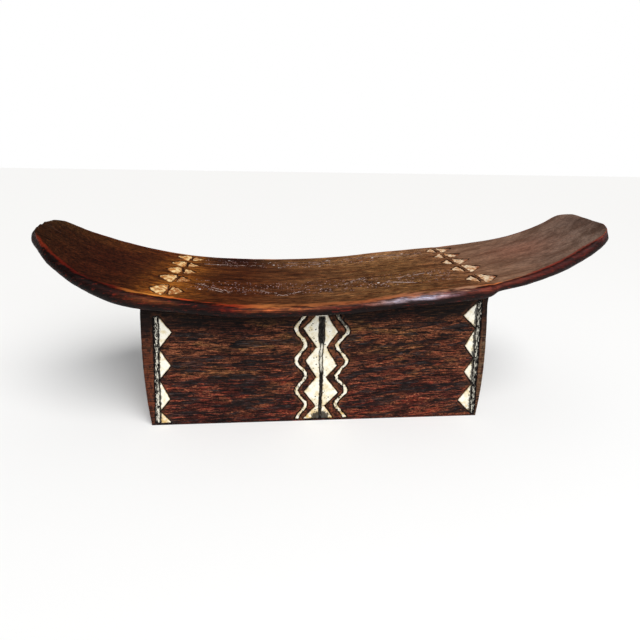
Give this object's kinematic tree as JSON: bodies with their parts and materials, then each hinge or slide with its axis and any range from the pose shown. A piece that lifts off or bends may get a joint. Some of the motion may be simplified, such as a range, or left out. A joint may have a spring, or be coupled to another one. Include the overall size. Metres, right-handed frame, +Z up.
{
  "type": "headrest",
  "caption": "Carved wooden headrest: curved board with upswept ends on a solid block, decorated with white and black filled chip carving.",
  "frame": {"origin": "centre of the block's underside, on the surface it stands on", "axes": "+X along the board towards its higher end, +Z up from the ground to the rest surface, decorated front facing -Y"},
  "size_m": [0.4407, 0.146, 0.1531],
  "materials": {
    "board_wood": "satin",
    "base_wood": "satin",
    "kaolin": "matte",
    "band_fill": "matte",
    "pitch": "matte"
  },
  "bodies": {
    "root": {"headrest_board": "board_wood", "base_block": "base_wood", "front_diamond_1": "kaolin", "front_diamond_2": "kaolin", "front_diamond_3": "kaolin", "front_diamond_4": "kaolin", "front_wave_left": "kaolin", "front_point_left_1": "kaolin", "front_point_left_2": "kaolin", "front_point_left_3": "kaolin", "front_point_left_4": "kaolin", "front_wave_right": "kaolin", "front_point_right_1": "kaolin", "front_point_right_2": "kaolin", "front_point_right_3": "kaolin", "front_point_right_4": "kaolin", "front_line_left": "pitch", "front_line_centre": "pitch", "front_line_right": "pitch", "back_diamond_1": "kaolin", "back_diamond_2": "kaolin", "back_diamond_3": "kaolin", "back_diamond_4": "kaolin", "back_wave_left": "kaolin", "back_point_left_1": "kaolin", "back_point_left_2": "kaolin", "back_point_left_3": "kaolin", "back_point_left_4": "kaolin", "back_wave_right": "kaolin", "back_point_right_1": "kaolin", "back_point_right_2": "kaolin", "back_point_right_3": "kaolin", "back_point_right_4": "kaolin", "back_line_left": "pitch", "back_line_centre": "pitch", "back_line_right": "pitch", "chip_left_outer_1": "band_fill", "chip_left_outer_2": "band_fill", "chip_left_outer_3": "band_fill", "chip_left_outer_4": "band_fill", "chip_left_outer_5": "band_fill", "chip_left_inner_1": "band_fill", "chip_left_inner_2": "band_fill", "chip_left_inner_3": "band_fill", "chip_left_inner_4": "band_fill", "chip_left_inner_5": "band_fill", "chip_right_inner_1": "band_fill", "chip_right_inner_2": "band_fill", "chip_right_inner_3": "band_fill", "chip_right_inner_4": "band_fill", "chip_right_inner_5": "band_fill", "chip_right_outer_1": "band_fill", "chip_right_outer_2": "band_fill", "chip_right_outer_3": "band_fill", "chip_right_outer_4": "band_fill", "chip_right_outer_5": "band_fill"}
  },
  "joints": []
}
